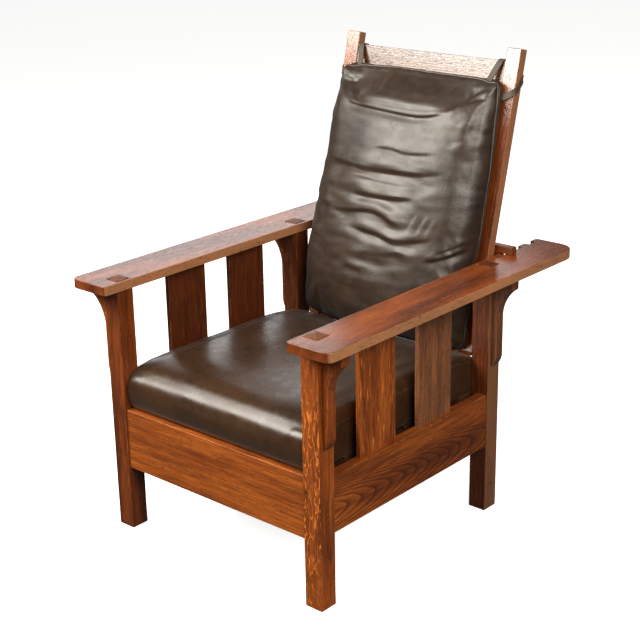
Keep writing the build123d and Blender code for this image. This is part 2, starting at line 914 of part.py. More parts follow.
def make_strap(side):
    half = strap_width / 2
    inner = stile_inner - strap_stile_gap - half
    outer = back_width / 2 + strap_clearance
    outside = outer + strap_thickness
    low = top_rail_top + strap_clearance
    high = low + strap_thickness
    edge = back_rail_front + strap_clearance
    front = stile_front + strap_clearance
    rear = stile_rear - strap_clearance - strap_thickness
    rear_end = top_rail_top - strap_rear_drop
    side_end = top_rail_top - strap_side_drop
    front_end = top_rail_top - strap_front_drop
    sewn_end = back_cushion_width / 2 - strap_side_sink
    # From the rail's front edge the strap falls and reaches forward to the cushion
    fall = low - (back_cushion_bottom + back_cushion_length - strap_top_sink)
    reach = stile_front + strap_stand - edge
    length = math.hypot(fall, reach)
    slope = Plane(
        origin=back_plane.from_local_coords((0, low, edge)),
        x_dir=(1, 0, 0),
        z_dir=(
            0,
            (reach * lean_sin - fall * lean_cos) / length,
            (reach * lean_cos + fall * lean_sin) / length,
        ),
    )
    outer_face = Plane(
        origin=back_plane.from_local_coords((side * outer, 0, 0)),
        x_dir=up_the_back,
        z_dir=(side, 0, 0),
    )
    with BuildPart() as strap:
        add_ribbon(
            slope,
            [
                (side * (inner - half), strap_thickness),
                (side * (inner + half), strap_thickness),
                (side * (inner - strap_lean + half), -length),
                (side * (inner - strap_lean - half), -length),
            ],
        )
        add_ribbon(
            cross_section(low),
            [
                (side * (inner - half), -edge),
                (side * (inner + half), -edge),
                (side * (inner + half), -rear),
                (side * (inner - half), -rear),
            ],
        )
        add_ribbon(
            back_plane.offset(rear),
            [
                (side * (inner - half), high),
                (side * (inner + half), high),
                (side * outside, rear_end + half),
                (side * outside, rear_end - half),
            ],
        )
        add_ribbon(
            outer_face,
            [
                (rear_end + half, side * rear),
                (rear_end - half, side * rear),
                (side_end - half, side * (front + strap_thickness)),
                (side_end + half, side * (front + strap_thickness)),
            ],
        )
        add_ribbon(
            back_plane.offset(front),
            [
                (side * outside, side_end + half),
                (side * outside, side_end - half),
                (side * sewn_end, front_end - half),
                (side * sewn_end, front_end + half),
            ],
        )
    save(strap, f"{side_names[side]}_strap")


for side in (-1, 1):
    make_strap(side)


# Back bar
with BuildPart() as bar:
    block(
        (0, bar_middle, bar_bottom + bar_height / 2),
        (2 * (arm_inner + bar_overlap), bar_depth, bar_height),
    )
    fillet(bar.edges(), bar_ease)
    block(
        (0, bar_middle, bar_bottom - bar_rib_height / 2 + bar_ease / 2),
        (2 * (arm_inner - bar_rib_clearance), bar_depth, bar_rib_height + bar_ease),
    )
save(bar, "support_bar")

print("recline at rest", round(recline, 3), "and range", round(recline_range, 3), "degrees")
print("hinge axis", round(hinge_y, 3), round(hinge_z, 3), "bar travel", round(bar_travel, 3))
print("bar travel per radian", round(bar_travel / math.radians(recline_range), 4))
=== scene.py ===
import math

import bpy
import numpy as np
from mathutils import Matrix, Vector, noise
from mathutils.bvhtree import BVHTree


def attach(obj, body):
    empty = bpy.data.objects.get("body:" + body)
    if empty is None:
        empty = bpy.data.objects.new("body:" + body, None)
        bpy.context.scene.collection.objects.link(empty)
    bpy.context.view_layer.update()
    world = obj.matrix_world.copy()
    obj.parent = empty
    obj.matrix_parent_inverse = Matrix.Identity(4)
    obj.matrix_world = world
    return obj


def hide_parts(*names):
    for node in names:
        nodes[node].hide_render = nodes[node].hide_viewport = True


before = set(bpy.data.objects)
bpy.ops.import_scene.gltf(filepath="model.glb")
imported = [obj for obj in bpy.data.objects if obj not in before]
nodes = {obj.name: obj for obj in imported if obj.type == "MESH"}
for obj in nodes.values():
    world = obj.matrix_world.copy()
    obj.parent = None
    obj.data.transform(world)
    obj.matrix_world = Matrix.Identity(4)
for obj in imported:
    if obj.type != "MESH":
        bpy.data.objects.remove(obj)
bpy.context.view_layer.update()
scene = bpy.context.scene

# Where the posts' tenons show in the arms, in metres
POST_X = 0.295
POST_MIDDLE_Y = -0.090
POST_HALF_Y = 0.297
TENON_HALF = 0.01835
ARM_TOP = 0.6102

# The back's own frame: across, up the back and out of it, from the hinge axis, in metres
LEAN = math.radians(13.883)
HINGE = Vector((0, 0.2344, 0.366))
ACROSS = Vector((1, 0, 0))
UP_BACK = Vector((0, math.sin(LEAN), math.cos(LEAN)))
OUT_BACK = Vector((0, -math.cos(LEAN), math.sin(LEAN)))


def on_back(across, up, out):
    """A point given in millimetres across, up and out of the back, in the chair's frame."""
    return HINGE + (ACROSS * across + UP_BACK * up + OUT_BACK * out) / 1000


# Camera, as the chair was photographed
CAMERA_PLACE = (2.0281, -2.3426, 1.5837)
CAMERA_TURN, CAMERA_DIP, CAMERA_ROLL = 41.362, 19.80, -1.013
LENS_LENGTH = 79.27


def aim_camera():
    turn, dip, roll = (math.radians(angle) for angle in (CAMERA_TURN, CAMERA_DIP, CAMERA_ROLL))
    ahead = Vector(
        (-math.sin(turn) * math.cos(dip), math.cos(turn) * math.cos(dip), -math.sin(dip))
    )
    right = ahead.cross(Vector((0, 0, 1))).normalized()
    up = right.cross(ahead)
    rolled_right = right * math.cos(roll) + up * math.sin(roll)
    rolled_up = up * math.cos(roll) - right * math.sin(roll)
    lens = bpy.data.cameras.new("camera")
    lens.sensor_fit = "HORIZONTAL"
    lens.sensor_width = 36
    lens.lens = LENS_LENGTH
    lens.clip_end = 100
    camera = bpy.data.objects.new("camera", lens)
    scene.collection.objects.link(camera)
    facing = Matrix((rolled_right, rolled_up, -ahead)).transposed().to_4x4()
    camera.matrix_world = Matrix.Translation(CAMERA_PLACE) @ facing
    scene.camera = camera


# Soft studio light over a pale floor
WARM = (1.0, 0.95, 0.86)


def hang_light(name, place, target, width, height, power, colour=(1, 1, 1)):
    """A softbox of a width and height in metres that faces its target, and isn't seen itself."""
    lamp = bpy.data.lights.new(name, "AREA")
    lamp.shape = "RECTANGLE"
    lamp.size = width
    lamp.size_y = height
    lamp.energy = power
    lamp.color = colour
    holder = bpy.data.objects.new(name, lamp)
    scene.collection.objects.link(holder)
    holder.location = place
    holder.rotation_euler = (Vector(target) - Vector(place)).to_track_quat("-Z", "Y").to_euler()
    holder.visible_camera = False


def light_studio():
    hang_light("key_softbox", (-1.2, -1.85, 2.22), (0, 0, 0.65), 2.2, 1.35, 164, WARM)
    hang_light("rear_softbox", (-2.1, 1.95, 1.65), (0, 0, 0.6), 2.3, 1.1, 20)
    hang_light("fill_softbox", (2.6, -1.2, 2.4), (0, 0, 0.4), 2.0, 2.0, 138, WARM)
    hang_light("top_softbox", (0.2, 0.6, 3.2), (0, 0, 0.3), 2.4, 2.4, 10)
    world = bpy.data.worlds.new("pale_studio")
    world.use_nodes = True
    glow = world.node_tree.nodes["Background"]
    glow.inputs["Color"].default_value = (1.0, 0.98, 0.95, 1)
    glow.inputs["Strength"].default_value = 0.10
    scene.world = world
    scene.view_settings.view_transform = "Standard"


# Selecting, as by hand
def pick(piece):
    bpy.ops.object.select_all(action="DESELECT")
    piece.select_set(True)
    bpy.context.view_layer.objects.active = piece


def edit_all(piece):
    pick(piece)
    bpy.ops.object.mode_set(mode="EDIT")
    bpy.ops.mesh.select_all(action="SELECT")


def leave_edit():
    bpy.ops.object.mode_set(mode="OBJECT")


def apply_modifier(piece, kind, **settings):
    pick(piece)
    bpy.ops.object.modifier_add(type=kind)
    modifier = piece.modifiers[-1]
    for key, value in settings.items():
        setattr(modifier, key, value)
    bpy.ops.object.modifier_apply(modifier=modifier.name)


def read_points(piece):
    points = np.empty(len(piece.data.vertices) * 3)
    piece.data.vertices.foreach_get("co", points)
    return points.reshape(-1, 3)


def read_normals(piece):
    normals = np.empty(len(piece.data.vertices) * 3)
    piece.data.vertices.foreach_get("normal", normals)
    return normals.reshape(-1, 3)


def write_points(piece, points):
    piece.data.vertices.foreach_set("co", points.ravel())
    piece.data.update()


def ease(value, low, high):
    """Goes from 0 at low to 1 at high, with a soft start and end."""
    share = np.clip((value - low) / (high - low), 0, 1)
    return share * share * (3 - 2 * share)


def bell(value, middle, width):
    """Is 1 at the middle and fades to both sides within about two widths."""
    return np.exp(-(((value - middle) / width) ** 2))


# Material building
def tint(red, green, blue):
    """A colour as seen on screen, 0 to 255, made linear."""
    channels = []
    for value in (red, green, blue):
        share = value / 255
        channels.append(share / 12.92 if share <= 0.04045 else ((share + 0.055) / 1.055) ** 2.4)
    return (*channels, 1)


def grey(level):
    return (level, level, level, 1)


class Recipe:
    """A material with its shader, and short ways to add nodes to it."""

    def __init__(self, name):
        self.material = bpy.data.materials.new(name)
        self.material.use_nodes = True
        self.tree = self.material.node_tree
        self.shader = self.tree.nodes["Principled BSDF"]

    def add(self, kind, inputs=(), **settings):
        node = self.tree.nodes.new("ShaderNode" + kind)
        for key, value in settings.items():
            setattr(node, key, value)
        for slot, value in inputs:
            self.feed(node.inputs[slot], value)
        return node

    def feed(self, socket, value):
        if isinstance(value, bpy.types.NodeSocket):
            self.tree.links.new(value, socket)
        else:
            socket.default_value = value

    def math(self, operation, *values):
        node = self.add("Math", operation=operation)
        for index, value in enumerate(values):
            self.feed(node.inputs[index], value)
        return node.outputs[0]

    def apart(self, first, second):
        return self.math("ABSOLUTE", self.math("SUBTRACT", first, second))

    def part(self, vector, axis):
        return self.add("SeparateXYZ", [(0, vector)]).outputs[axis]

    def leaning(self, vector):
        """The place in the back's own frame, for pieces that lean with it."""
        return self.add("Mapping", [("Vector", vector), ("Rotation", (LEAN, 0, 0))]).outputs[0]

    def scaled(self, vector, factors):
        node = self.add("VectorMath", operation="MULTIPLY")
        self.feed(node.inputs[0], vector)
        node.inputs[1].default_value = factors
        return node.outputs[0]

    def speckle(self, vector, scale=1.0, detail=2.0, roughness=0.5):
        node = self.add(
            "TexNoise",
            [("Vector", vector), ("Scale", scale), ("Detail", detail), ("Roughness", roughness)],
        )
        return node.outputs[0]

    def stirred(self, vector, seed, scale, detail, reach):
        """The vector moved about by a noise, as far as its reach along each axis."""
        push = self.add("TexNoise", [("Vector", seed), ("Scale", scale), ("Detail", detail)])
        node = self.add("VectorMath", operation="MULTIPLY_ADD")
        self.feed(node.inputs[0], push.outputs[1])
        node.inputs[1].default_value = reach
        self.feed(node.inputs[2], vector)
        return node.outputs[0]

    def between(self, value, low, high, start=0.0, end=1.0):
        node = self.add(
            "MapRange",
            [(0, value), (1, low), (2, high), (3, start), (4, end)],
            interpolation_type="SMOOTHSTEP",
        )
        return node.outputs[0]

    def ramp(self, value, stops):
        node = self.add("ValToRGB", [(0, value)])
        elements = node.color_ramp.elements
        while len(elements) < len(stops):
            elements.new(0.5)
        for element, (place, colour) in zip(elements, stops):
            element.position = place
            element.color = colour
        return node.outputs[0]

    def mix(self, share, first, second, blend="MIX"):
        node = self.add("Mix", data_type="RGBA", blend_type=blend)
        self.feed(node.inputs[0], share)
        self.feed(node.inputs[6], first)
        self.feed(node.inputs[7], second)
        return node.outputs[2]

    def bump(self, height, strength, distance):
        node = self.add(
            "Bump", [("Height", height), ("Strength", strength), ("Distance", distance)]
        )
        self.tree.links.new(node.outputs[0], self.shader.inputs["Normal"])

    def finish(self, levels):
        """Sets the shader's plain inputs by name, and gives the material."""
        for name, level in levels.items():
            self.shader.inputs[name].default_value = level
        return self.material


FUMED = {
    "dark": tint(84, 36, 10),
    "middle": tint(134, 64, 19),
    "light": tint(168, 88, 28),
    "ring": tint(52, 25, 10),
    "fleck": tint(218, 122, 48),
    "pore": tint(34, 16, 7),
    "worn": tint(198, 124, 70),
}
# GREY_TONE_AND_SHEEN is greyer and paler: partly the boards' own tone, partly painted sheen where
# glare greys them
GREY_TONE_AND_SHEEN = {
    "dark": tint(74, 42, 24),
    "middle": tint(110, 66, 40),
    "light": tint(134, 84, 52),
    "ring": tint(54, 34, 22),
    "fleck": tint(184, 120, 74),
    "pore": tint(40, 25, 16),
    "worn": tint(176, 126, 90),
}
STAINED = {
    "dark": tint(40, 22, 11),
    "middle": tint(60, 34, 18),
    "light": tint(80, 48, 27),
    "ring": tint(30, 17, 9),
    "fleck": tint(96, 60, 36),
    "pore": tint(20, 11, 6),
    "worn": tint(100, 66, 42),
}


# How many features there are in a metre towards the bark, across the rays and along the grain
GRAIN = {
    "wander": (9, 9, 1.7),
    "uneven": (60, 20, 3),
    "broad": (120, 90, 5),
    "streak": (420, 300, 16),
    "pore": (520, 520, 70),
    "drift": (42, 30, 30),
    "net": (170, 170, 24),
    "ray": (330, 330, 20),
    "patch": (26, 26, 7),
    "slow": (14, 10, 2.2),
    "rub": (70, 70, 24),
}
# How far the rings wander and how uneven they are, in metres
RING_WANDER = 0.020
RING_UNEVEN = 0.0016
# How far the rays are moved about in metres, where they make a net and where they don't
NET_REACH = (0.014, 0.004, 0.020)
RAY_REACH = (0.006, 0.002, 0.010)
# PAINTED_GLARE_FACE is a painted grey-tan glare, laid on the faces towards the bark
PAINTED_GLARE_FACE = tint(186, 134, 94)
DULL_CAP = tint(84, 58, 42)
DARK_JOINT = tint(26, 12, 7)


def sawn_wood(
    name,
    along,
    face,
    shift,
    palette=FUMED,
    leaning=False,
    fleck=0.6,
    netted=False,
    ring=0.45,
    ring_pitch=0.0032,
    cathedral=None,
    tone=0.5,
    joints=False,
    polish=0.1,
    satin=0.34,
    shine=0.32,
    contrast=1.0,
    painted_side_glare=0.0,
    cap_dull=0.0,
    glaze=0.22,
    grip=0.16,
):
    """Sawn wood with its grain along one axis, and its ray flecks on the faces square to another.
    In the board's own frame X is towards the bark, Y across the rays and Z along the grain.
    fleck and ring are how strong the rays and rings are, tone how light the board is,
    painted_side_glare how strongly a painted grey-tan glare pales the faces towards the bark,
    cap_dull how dull a post's top is. satin and grip are the roughness and how much it varies,
    shine the reflection, polish and glaze the coat's strength and roughness."""
    wood = Recipe(name)
    coordinates = wood.add("TexCoord").outputs
    place, facing_out = coordinates["Object"], coordinates["Normal"]
    if leaning:
        place = wood.leaning(place)
    axes = wood.add("SeparateXYZ", [(0, place)]).outputs
    third = ({"X", "Y", "Z"} - {along, face}).pop()
    board = wood.add(
        "CombineXYZ", [("X", axes[third]), ("Y", axes[face]), ("Z", axes[along])]
    ).outputs[0]
    moved = wood.add("Mapping", [("Vector", board), ("Location", shift)]).outputs[0]

    def grain(kind, detail, roughness=0.5, vector=moved):
        return wood.speckle(
            wood.scaled(vector, GRAIN[kind]), detail=detail, roughness=roughness
        )

    # Growth rings, wandering along the board, and bowed where the board shows a cathedral
    depth = wood.math("MULTIPLY_ADD", grain("wander", 2.5), RING_WANDER, wood.part(moved, "X"))
    if cathedral:
        middle, tilt, bow, slope = cathedral
        seen = wood.add("SeparateXYZ", [(0, board)]).outputs
        away = wood.math("SUBTRACT", seen["Y"], wood.math("MULTIPLY_ADD", seen["Z"], tilt, middle))
        depth = wood.math("MULTIPLY_ADD", wood.math("MULTIPLY", away, away), bow, depth)
        depth = wood.math("MULTIPLY_ADD", seen["Z"], slope, depth)
    depth = wood.math("MULTIPLY_ADD", grain("uneven", 1), RING_UNEVEN, depth)
    early = wood.ramp(
        wood.math("FRACT", wood.math("DIVIDE", depth, ring_pitch)),
        [(0.0, grey(0.1)), (0.10, grey(1)), (0.38, grey(0.45)), (0.92, grey(0))],
    )

    # Broad and fine streaks, pores, and the flecks of the rays
    broad = grain("broad", 2)
    streak = grain("streak", 3, roughness=0.6)
    pores = wood.math(
        "MULTIPLY",
        wood.between(grain("pore", 2), 0.55, 0.66),
        wood.math("MULTIPLY_ADD", early, 0.75, 0.25),
    )
    drifted = wood.stirred(
        moved, wood.scaled(moved, GRAIN["drift"]), 1.0, 1.5, NET_REACH if netted else RAY_REACH
    )
    if netted:
        ridge = wood.apart(grain("net", 1, vector=drifted), 0.5)
        rays = wood.between(ridge, 0.042, 0.008)
    else:
        rays = wood.between(grain("ray", 1.5, vector=drifted), 0.57, 0.66)
    patches = wood.between(grain("patch", 1), 0.38, 0.58)
    rays = wood.math("MULTIPLY", rays, wood.math("MULTIPLY_ADD", patches, 0.7, 0.3))
    square_on = wood.math("ABSOLUTE", wood.part(facing_out, face))
    rays = wood.math("MULTIPLY", rays, wood.between(square_on, 0.3, 0.8, 0.12, 1.0))

    # Colour, from the board's slow changes to its pores
    body = wood.ramp(
        wood.math("ADD", grain("slow", 3, roughness=0.6), tone - 0.5),
        [(0.30, palette["dark"]), (0.5, palette["middle"]), (0.70, palette["light"])],
    )
    broad_shades = wood.ramp(broad, [(0.32, (0.5, 0.46, 0.44, 1)), (0.66, grey(1.2))])
    body = wood.mix(0.6 * contrast, body, broad_shades, "MULTIPLY")
    body = wood.mix(wood.math("MULTIPLY", early, ring), body, palette["ring"])
    streak_shades = wood.ramp(streak, [(0.3, (0.5, 0.47, 0.45, 1)), (0.68, grey(1.3))])
    body = wood.mix(0.8 * contrast, body, streak_shades, "MULTIPLY")
    body = wood.mix(wood.math("MULTIPLY", rays, fleck), body, palette["fleck"])
    # painted_side_glare: the faces towards the bark are paled towards PAINTED_GLARE_FACE, a
    # painted grey-tan glare
    if painted_side_glare:
        side_on = wood.math("ABSOLUTE", wood.part(facing_out, third))
        pale = wood.mix(0.55, body, PAINTED_GLARE_FACE)
        body = wood.mix(wood.between(side_on, 0.5, 0.9, 0.0, painted_side_glare), body, pale)
    if cap_dull:
        cap = wood.between(axes["Z"], ARM_TOP - 0.0017, ARM_TOP, 0.0, cap_dull)
        body = wood.mix(cap, body, DULL_CAP)
    body = wood.mix(wood.math("MULTIPLY", pores, 0.8), body, palette["pore"])

    # Corners rubbed lighter, and joints gone dark
    rounded = wood.add("Bevel", [("Radius", 0.003)], samples=3).outputs[0]
    facing = wood.add("VectorMath", operation="DOT_PRODUCT")
    wood.feed(facing.inputs[0], rounded)
    wood.feed(facing.inputs[1], wood.add("NewGeometry").outputs["Normal"])
    edge = wood.between(facing.outputs["Value"], 0.985, 0.86)
    rub = wood.between(grain("rub", 3), 0.42, 0.66)
    body = wood.mix(
        wood.math("MULTIPLY", wood.math("MULTIPLY", edge, rub), 0.55), body, palette["worn"]
    )
    if joints:
        apart_x = wood.apart(wood.math("ABSOLUTE", axes["X"]), POST_X)
        apart_y = wood.apart(wood.apart(axes["Y"], POST_MIDDLE_Y), POST_HALF_Y)
        rim = wood.apart(wood.math("MAXIMUM", apart_x, apart_y), TENON_HALF)
        body = wood.mix(wood.between(rim, 0.0020, 0.0006, 0.0, 0.75), body, DARK_JOINT)
    wood.feed(wood.shader.inputs["Base Color"], body)

    rough = wood.math("MULTIPLY_ADD", streak, grip, satin)
    rough = wood.math("MULTIPLY_ADD", pores, 0.45, rough)
    rough = wood.math("MULTIPLY_ADD", rays, -0.06, rough)
    wood.feed(wood.shader.inputs["Roughness"], rough)
    height = wood.math("MULTIPLY_ADD", pores, -1.0, wood.math("MULTIPLY", streak, 0.7))
    height = wood.math("MULTIPLY_ADD", early, -0.25, height)
    height = wood.math("MULTIPLY_ADD", rays, 0.15, height)
    wood.bump(height, 0.5, 0.0004)
    return wood.finish(
        {
            "IOR": 1.48,
            "Specular IOR Level": shine,
            "Coat Weight": polish,
            "Coat Roughness": glaze,
        }
    )


def hide_leather(name, deep, worn, gloss, pebble=820.0, crease=0.25, shine=0.5):
    """Leather: pebbled and finely creased, paler where it has been rubbed. pebble is how many
    pebbles there are in a metre, gloss the middle of its roughness."""
    hide = Recipe(name)
    place = hide.add("TexCoord").outputs["Object"]
    blotch = hide.speckle(place, scale=7.0, detail=4, roughness=0.6)
    cloud = hide.speckle(place, scale=38.0, detail=3)
    body = hide.ramp(
        hide.math("MULTIPLY_ADD", cloud, 0.25, hide.math("MULTIPLY", blotch, 0.75)),
        [(0.36, deep), (0.66, worn)],
    )
    cells = hide.add(
        "TexVoronoi", [("Vector", place), ("Scale", pebble)], feature="SMOOTH_F1"
    ).outputs[0]
    bent = hide.stirred(place, place, 60.0, 2.0, (0.012, 0.012, 0.012))
    lines = hide.add(
        "TexVoronoi", [("Vector", bent), ("Scale", 95.0)], feature="DISTANCE_TO_EDGE"
    ).outputs[0]
    furrow = hide.between(lines, 0.09, 0.0)
    patch = hide.between(hide.speckle(place, scale=16.0, detail=2), 0.45, 0.62)
    furrow = hide.math("MULTIPLY", furrow, patch)
    # The crease lines are darkened towards the deep colour: painted shade in the creases
    body = hide.mix(hide.math("MULTIPLY", furrow, 0.35), body, deep)
    hide.feed(hide.shader.inputs["Base Color"], body)
    rough = hide.math("MULTIPLY_ADD", cloud, 0.22, gloss - 0.11)
    rough = hide.math("MULTIPLY_ADD", cells, 0.06, rough)
    hide.feed(hide.shader.inputs["Roughness"], rough)
    fine = hide.speckle(place, scale=420.0, detail=3)
    height = hide.math("MULTIPLY_ADD", cells, -0.8, hide.math("MULTIPLY", fine, 0.6))
    height = hide.math("MULTIPLY_ADD", furrow, -crease * 4, height)
    hide.bump(height, 0.35, 0.00035)
    return hide.finish(
        {
            "IOR": 1.5,
            "Specular IOR Level": shine,
            "Sheen Weight": 0.06,
            "Sheen Roughness": 0.4,
        }
    )


def sewing_thread():
    thread = Recipe("waxed_thread")
    place = thread.add("TexCoord").outputs["Object"]
    twist = thread.speckle(place, scale=900.0, detail=2)
    thread.feed(
        thread.shader.inputs["Base Color"],
        thread.ramp(twist, [(0.3, tint(58, 46, 38)), (0.7, tint(104, 88, 74))]),
    )
    thread.bump(twist, 0.4, 0.0002)
    return thread.finish({"Roughness": 0.6})


def aged_metal(name, dull, bright, slot_axis=None, slot_place=0.0, leaning=False):
    """Metal with fine draw marks and tarnish. slot_axis gives screw heads a slot painted as a dark
    line: painted shade of the slot's recess.
    """
    metal = Recipe(name)
    place = metal.add("TexCoord").outputs["Object"]
    tarnish = metal.speckle(place, scale=160.0, detail=4, roughness=0.65)
    marks = metal.speckle(metal.scaled(place, (60, 2400, 2400)), detail=2)
    body = metal.ramp(
        metal.math("MULTIPLY_ADD", marks, 0.3, metal.math("MULTIPLY", tarnish, 0.7)),
        [(0.34, dull), (0.66, bright)],
    )
    if slot_axis:
        seen = metal.leaning(place) if leaning else place
        away = metal.apart(metal.part(seen, slot_axis), slot_place)
        # The slot is painted shade: a near-black line where the slot's recess would be shaded
        body = metal.mix(metal.between(away, 0.0006, 0.00035), body, tint(20, 16, 12))
    metal.feed(metal.shader.inputs["Base Color"], body)
    metal.feed(
        metal.shader.inputs["Roughness"], metal.between(tarnish, 0.3, 0.7, 0.28, 0.52)
    )
    metal.bump(marks, 0.2, 0.0001)
    return metal.finish({"Metallic": 1.0})


def finish_wood():
    """Gives each board its own piece of wood."""
    finishes = {}
    # Front left, front right, rear left and rear right
    post_looks = (
        {"fleck": 0.15, "tone": 0.40, "cap_dull": 0.5},
        {"fleck": 0.9, "tone": 0.58, "netted": True, "cap_dull": 0.75},
        {"fleck": 0.2, "tone": 0.34, "cap_dull": 0.5},
        # The rear right post's low tone is partly its own and partly painted shade from the arm
        # and corbel above it; its painted_side_glare paints a grey-tan glare on its sides
        {"fleck": 0.1, "tone": 0.17, "ring": 0.75, "ring_pitch": 0.006, "painted_side_glare": 0.45},
    )
    grey_sheen_corbel = {"palette": GREY_TONE_AND_SHEEN, "fleck": 0.15, "tone": 0.40}
    netted_corbel = {"fleck": 0.7, "tone": 0.46, "netted": True}
    for index, end in enumerate(("front", "rear")):
        for row, side in enumerate(("left", "right")):
            count = 2 * index + row
            finishes[f"{end}_{side}_post"] = sawn_wood(
                f"oak_{end}_{side}_post", "Z", "Y", (0.31 * count, 0.17 * count, 1.3 * count),
                **post_looks[count],
            )
            finishes[f"{end}_{side}_corbel"] = sawn_wood(
                f"oak_{end}_{side}_corbel", "Z", "Y", (0.7 + 0.23 * count, 0.4, 2.1 + count),
                **(grey_sheen_corbel if count == 3 else netted_corbel),
            )
            # The left slats, seen in the chair's shade, get a low tone: partly their own, partly
            # painted shade
            finishes[f"{side}_{end}_slat"] = sawn_wood(
                f"oak_{side}_{end}_slat", "Z", "X", (0.9 + 0.27 * count, 0.3, 0.6 + count),
                palette=GREY_TONE_AND_SHEEN if end == "rear" and row else FUMED,
                fleck=(0.1, 0.8, 0.1, 0.3)[count], tone=(0.20, 0.52, 0.20, 0.60)[count],
            )
    for row, side in enumerate(("left", "right")):
        # painted_side_glare paints a grey-tan glare on the sides of the arms and stiles
        finishes[f"{side}_arm"] = sawn_wood(
            f"oak_{side}_arm", "Y", "Z", (0.5 + 0.6 * row, 0.2 + 0.3 * row, 0.4 + row),
            fleck=0.10, tone=0.40, joints=True,
            polish=0.2, satin=0.24, shine=(0.42, 0.36)[row], contrast=0.7, painted_side_glare=1.0,
        )
        finishes[f"{side}_side_rail"] = sawn_wood(
            f"oak_{side}_side_rail", "Y", "Z", (0.1 + 0.4 * row, 0.5, 0.2 + row),
            fleck=0.1, ring=0.8, ring_pitch=0.0042, tone=0.52,
            cathedral=(0.208, -0.035, 7.5, 0.085),
        )
        finishes[f"back_{side}_stile"] = sawn_wood(
            f"oak_back_{side}_stile", "Z", "Y", (1.5 + 0.3 * row, 0.8, 0.3 + row),
            leaning=True, fleck=0.2, tone=0.40, polish=0.3, satin=0.06 if row else 0.14,
            shine=1.0, painted_side_glare=0.7, glaze=0.05 if row else 0.16, grip=0.08,
        )
    for index, name in enumerate(("front_rail", "rear_rail", "hinge_rail", "support_bar")):
        finishes[name] = sawn_wood(
            f"oak_{name}", "X", "Y", (0.2 + 0.35 * index, 0.6, 0.8 + index),
            fleck=0.08, tone=(0.62, 0.56, 0.34, 0.44)[index], ring_pitch=0.0024,
            contrast=(1.1, 0.8, 0.8, 0.8)[index],
        )
    finishes["rail_pegs"] = sawn_wood("oak_pegs", "Y", "Z", (0.35, 0.2, 0.1), fleck=0.1, tone=0.3)
    glaring_rail = {
        "palette": GREY_TONE_AND_SHEEN, "tone": 0.34, "polish": 0.3, "satin": 0.14, "shine": 1.0, "glaze": 0.12,
    }
    hidden_rail = {"tone": 0.50}
    for index, name in enumerate(
        ("back_top_rail", "back_bottom_rail", "back_slat_1", "back_slat_2", "back_slat_3")
    ):
        finishes[name] = sawn_wood(
            f"oak_{name}", "X", "Y", (0.4 + 0.31 * index, 0.9, 0.5 + index),
            leaning=True, fleck=0.1, contrast=0.7, **(hidden_rail if index else glaring_rail),
        )
    for index, name in enumerate(
        ("seat_frame_front", "seat_frame_rear", "front_cleat", "rear_cleat")
        + tuple(f"deck_slat_{count}" for count in range(1, 7))
    ):
        finishes[name] = sawn_wood(
            f"stained_{name}", "X", "Z", (0.21 * index, 0.3, 0.9 * index),
            palette=STAINED, fleck=0.1, ring=0.55, ring_pitch=0.005,
        )
    for row, side in enumerate(("left", "right")):
        finishes[f"seat_frame_{side}"] = sawn_wood(
            f"stained_seat_frame_{side}", "Y", "Z", (0.45 + 0.2 * row, 0.3, 0.7 + row),
            palette=STAINED, fleck=0.1, ring=0.55, ring_pitch=0.005,
        )
    return finishes


def finish_metal():
    brass = aged_metal("aged_brass", tint(112, 86, 46), tint(176, 144, 86))
    finishes = {}
    for side in ("left", "right"):
        for part in ("fixed_leaf", "moving_leaf", "hinge_pin"):
            finishes[f"{side}_{part}"] = brass
    steel = (tint(86, 80, 74), tint(148, 142, 134))
    # The screws of the leaves stand in a row this far from the pin, those of the cleats this high
    screw_row = 0.0134
    cleat_screw_height = 0.256
    turned_y = HINGE.y * math.cos(LEAN) - HINGE.z * math.sin(LEAN)
    finishes["fixed_leaf_screws"] = aged_metal(
        "aged_steel_fixed", *steel, "Y", HINGE.y - screw_row
    )
    finishes["moving_leaf_screws"] = aged_metal(
        "aged_steel_moving", *steel, "Y", turned_y - screw_row, leaning=True
    )
    finishes["cleat_screws"] = aged_metal("aged_steel_cleat", *steel, "Z", cleat_screw_height)
    return finishes


def dress_nodes():
    for name, material in {**finish_wood(), **finish_metal()}.items():
        node = nodes[name]
        node.data.materials.clear()
        node.data.materials.append(material)


# Cushion covers
def cover_of(node_name, name, voxel, rounding):
    """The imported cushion's form as an even mesh of its own, a little smaller, ready to swell."""
    source = nodes[node_name]
    cover = source.copy()
    cover.data = source.data.copy()
    cover.name = cover.data.name = name
    scene.collection.objects.link(cover)
    cover.parent = None
    cover.data.materials.clear()
    edit_all(cover)
    bpy.ops.mesh.remove_doubles(threshold=0.00001)
    bpy.ops.mesh.normals_make_consistent(inside=False)
    leave_edit()
    cover.data.remesh_voxel_size = voxel
    bpy.ops.object.voxel_remesh()
    edit_all(cover)
    bpy.ops.mesh.vertices_smooth(factor=0.5, repeat=rounding)
    bpy.ops.transform.shrink_fatten(value=-0.0015)
    leave_edit()
    return cover


